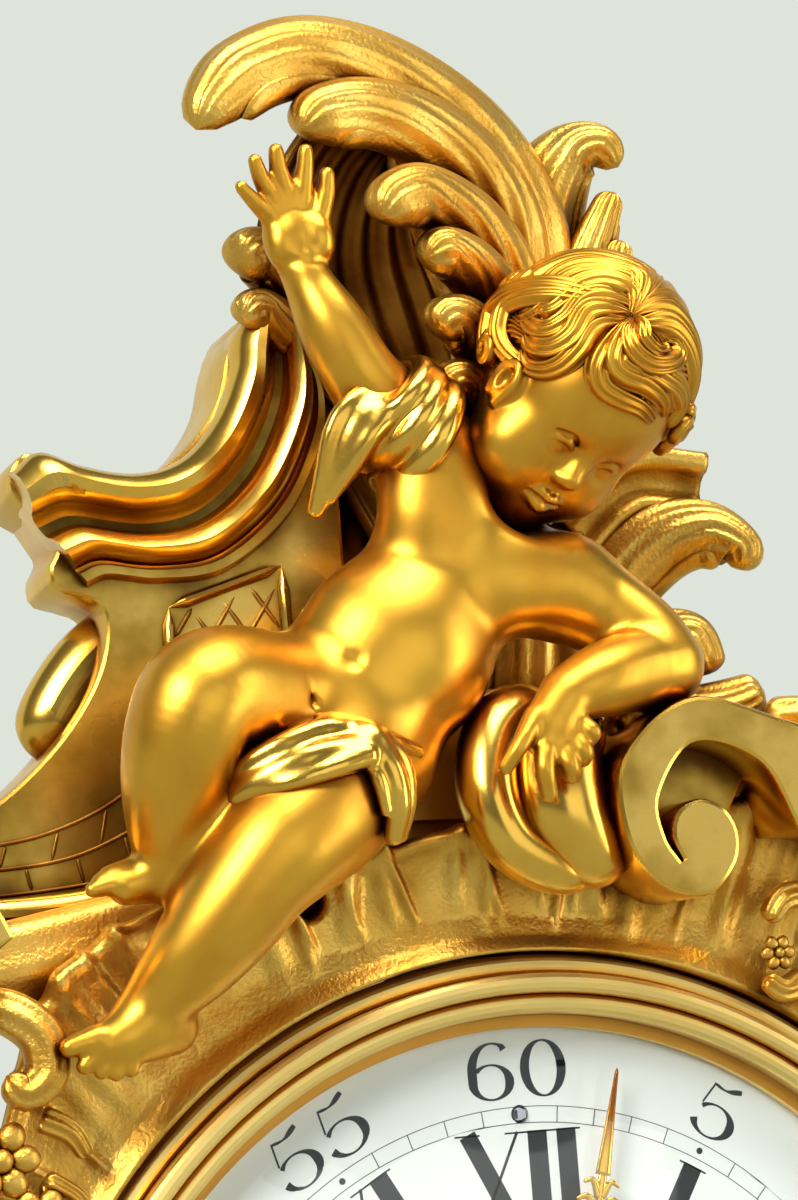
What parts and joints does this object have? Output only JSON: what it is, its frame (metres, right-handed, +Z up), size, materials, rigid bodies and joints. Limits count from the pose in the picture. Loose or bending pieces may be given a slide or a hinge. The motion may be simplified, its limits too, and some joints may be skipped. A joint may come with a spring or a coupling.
{
  "type": "cartel wall clock",
  "caption": "Gilt rococo cartel wall clock with a seated cherub, scrolls and leaves round a glazed enamel dial, over a lattice pendulum box.",
  "frame": {"origin": "centre of the hanging hole at the back plate's rear face", "axes": "+Z up the wall, +Y into the wall along the hanging hole, +X to the viewer's right; the dial faces -Y"},
  "size_m": [0.2816, 0.1314, 0.6089],
  "materials": {
    "gilt_satin": "satin",
    "gilt_matte": "matte",
    "gilt_burnished": "polished",
    "movement_brass": "satin",
    "bell_metal": "satin",
    "polished_steel": "polished",
    "white_enamel": "gloss",
    "clear_glass": "gloss",
    "red_silk": "satin"
  },
  "bodies": {
    "case": {"back_plate": "movement_brass", "case_drum": "gilt_matte", "case_screws": "polished_steel", "pendulum_box": "gilt_matte", "sound_fret": "gilt_burnished", "fret_silk": "red_silk", "apron_scrolls": "gilt_burnished", "apron_leaf": "gilt_matte", "rocaille_surround": "gilt_matte", "left_cartouche": "gilt_burnished", "crest_leaf": "gilt_matte", "crest_side_leaf": "gilt_matte", "right_wing": "gilt_matte", "right_c_scroll": "gilt_burnished", "left_c_scroll": "gilt_burnished", "scroll_bolster": "gilt_burnished", "flower_sprays": "gilt_matte", "putto_body": "gilt_satin", "putto_head": "gilt_satin", "putto_raised_arm": "gilt_satin", "putto_resting_arm": "gilt_satin", "putto_bent_leg": "gilt_satin", "putto_long_leg": "gilt_satin", "putto_drapery": "gilt_matte", "dial": "white_enamel", "winding_eyelets": "movement_brass", "movement_straps": "movement_brass", "front_plate": "movement_brass", "rear_plate": "movement_brass", "plate_pillars": "movement_brass", "bell": "bell_metal", "bell_post": "polished_steel", "suspension_cock": "movement_brass", "hinge_pins": "polished_steel"},
    "bezel_door": {"bezel_ring": "gilt_burnished", "bezel_glass": "clear_glass"},
    "minute_work": {"minute_hand": "gilt_burnished", "cannon_pinion": "polished_steel"},
    "hour_work": {"hour_hand": "gilt_burnished", "hour_wheel": "movement_brass"},
    "minute_wheel": {"minute_wheel": "movement_brass"},
    "going_barrel": {"going_barrel": "movement_brass"},
    "going_arbor": {"going_arbor": "polished_steel"},
    "strike_barrel": {"strike_barrel": "movement_brass"},
    "strike_arbor": {"strike_arbor": "polished_steel"},
    "centre_arbor": {"centre_arbor": "movement_brass"},
    "third_wheel": {"third_wheel": "movement_brass"},
    "escape_wheel": {"escape_wheel": "movement_brass"},
    "anchor": {"anchor": "polished_steel"},
    "pin_wheel": {"pin_wheel": "movement_brass"},
    "fly": {"fly": "movement_brass"},
    "suspension_block": {"suspension_block": "polished_steel"},
    "pendulum": {"pendulum_rod": "polished_steel", "pendulum_bob": "movement_brass"},
    "rating_nut": {"rating_nut": "movement_brass"},
    "bell_hammer": {"bell_hammer": "polished_steel"},
    "rear_door": {"rear_door": "movement_brass"},
    "rear_latch": {"rear_latch": "polished_steel"},
    "regulator_arbor": {"regulator_arbor": "polished_steel"}
  },
  "joints": [
    {"name": "bezel_hinge", "type": "hinge", "parent": "case", "child": "bezel_door", "pos_m": [0.1035, -0.1008, -0.132], "axis": [0, 0, 1], "range_deg": [0, 100]},
    {"name": "rear_door_hinge", "type": "hinge", "parent": "case", "child": "rear_door", "pos_m": [-0.0645, -0.0022, -0.132], "axis": [0, 0, 1], "range_deg": [0, 100]},
    {"name": "rear_latch_turn", "type": "hinge", "parent": "rear_door", "child": "rear_latch", "pos_m": [0.052, -0.0022, -0.132], "axis": [0, 1, 0], "range_deg": [0, 90]},
    {"name": "hand_setting", "type": "hinge", "parent": "case", "child": "minute_work", "pos_m": [0, -0.095, -0.132], "axis": [0, 1, 0], "continuous": true},
    {"name": "minute_wheel_turn", "type": "hinge", "parent": "case", "child": "minute_wheel", "pos_m": [-0.01559, -0.084, -0.123], "axis": [0, 1, 0], "continuous": true},
    {"name": "hour_turn", "type": "hinge", "parent": "case", "child": "hour_work", "pos_m": [0, -0.09, -0.132], "axis": [0, 1, 0], "continuous": true},
    {"name": "third_wheel_turn", "type": "hinge", "parent": "case", "child": "third_wheel", "pos_m": [-0.01262, -0.06, -0.11398], "axis": [0, 1, 0], "continuous": true},
    {"name": "centre_turn", "type": "hinge", "parent": "case", "child": "centre_arbor", "pos_m": [0, -0.06, -0.132], "axis": [0, 1, 0], "continuous": true},
    {"name": "escape_turn", "type": "hinge", "parent": "case", "child": "escape_wheel", "pos_m": [0, -0.06, -0.09872], "axis": [0, 1, 0], "continuous": true},
    {"name": "going_barrel_turn", "type": "hinge", "parent": "case", "child": "going_barrel", "pos_m": [-0.02538, -0.06, -0.14383], "axis": [0, 1, 0], "continuous": true},
    {"name": "going_winding", "type": "hinge", "parent": "case", "child": "going_arbor", "pos_m": [-0.02538, -0.08, -0.14383], "axis": [0, 1, 0], "continuous": true},
    {"name": "pin_wheel_turn", "type": "hinge", "parent": "case", "child": "pin_wheel", "pos_m": [0.03262, -0.06, -0.11679], "axis": [0, 1, 0], "continuous": true},
    {"name": "strike_barrel_turn", "type": "hinge", "parent": "case", "child": "strike_barrel", "pos_m": [0.02538, -0.06, -0.14383], "axis": [0, 1, 0], "continuous": true},
    {"name": "fly_turn", "type": "hinge", "parent": "case", "child": "fly", "pos_m": [0.0199, -0.06, -0.10162], "axis": [0, 1, 0], "continuous": true},
    {"name": "strike_winding", "type": "hinge", "parent": "case", "child": "strike_arbor", "pos_m": [0.02538, -0.08, -0.14383], "axis": [0, 1, 0], "continuous": true},
    {"name": "pendulum_swing", "type": "hinge", "parent": "suspension_block", "child": "pendulum", "pos_m": [0, -0.0336, -0.08372], "axis": [0, 1, 0], "range_deg": [-3, 3]},
    {"name": "anchor_rock", "type": "hinge", "parent": "case", "child": "anchor", "pos_m": [0, -0.06, -0.08372], "axis": [0, 1, 0], "range_deg": [-3, 3]},
    {"name": "rating_turn", "type": "hinge", "parent": "pendulum", "child": "rating_nut", "pos_m": [0, -0.0336, -0.35222], "axis": [0, 0, 1], "continuous": true},
    {"name": "hammer_lift", "type": "hinge", "parent": "case", "child": "bell_hammer", "pos_m": [0.038, -0.03, -0.152], "axis": [0, 1, 0], "range_deg": [0, 14]},
    {"name": "regulator_turn", "type": "hinge", "parent": "case", "child": "regulator_arbor", "pos_m": [0, -0.06, -0.06135], "axis": [0, 1, 0], "range_deg": [-171.89, 171.89]},
    {"name": "suspension_slide", "type": "slide", "parent": "case", "child": "suspension_block", "axis": [0, 0, 1], "range_m": [-0.0006, 0.0006]}
  ],
  "couplings": [
    {"joint": "minute_wheel_turn", "follows": "hand_setting", "ratio": -0.33333},
    {"joint": "hour_turn", "follows": "hand_setting", "ratio": 0.083333},
    {"joint": "centre_turn", "follows": "third_wheel_turn", "ratio": -0.1},
    {"joint": "escape_turn", "follows": "third_wheel_turn", "ratio": -10},
    {"joint": "going_barrel_turn", "follows": "third_wheel_turn", "ratio": 0.016667},
    {"joint": "strike_barrel_turn", "follows": "pin_wheel_turn", "ratio": -0.16667},
    {"joint": "fly_turn", "follows": "pin_wheel_turn", "ratio": -10},
    {"joint": "anchor_rock", "follows": "pendulum_swing", "ratio": 1},
    {"joint": "regulator_turn", "follows": "suspension_slide", "rad_per_m": 5000}
  ]
}
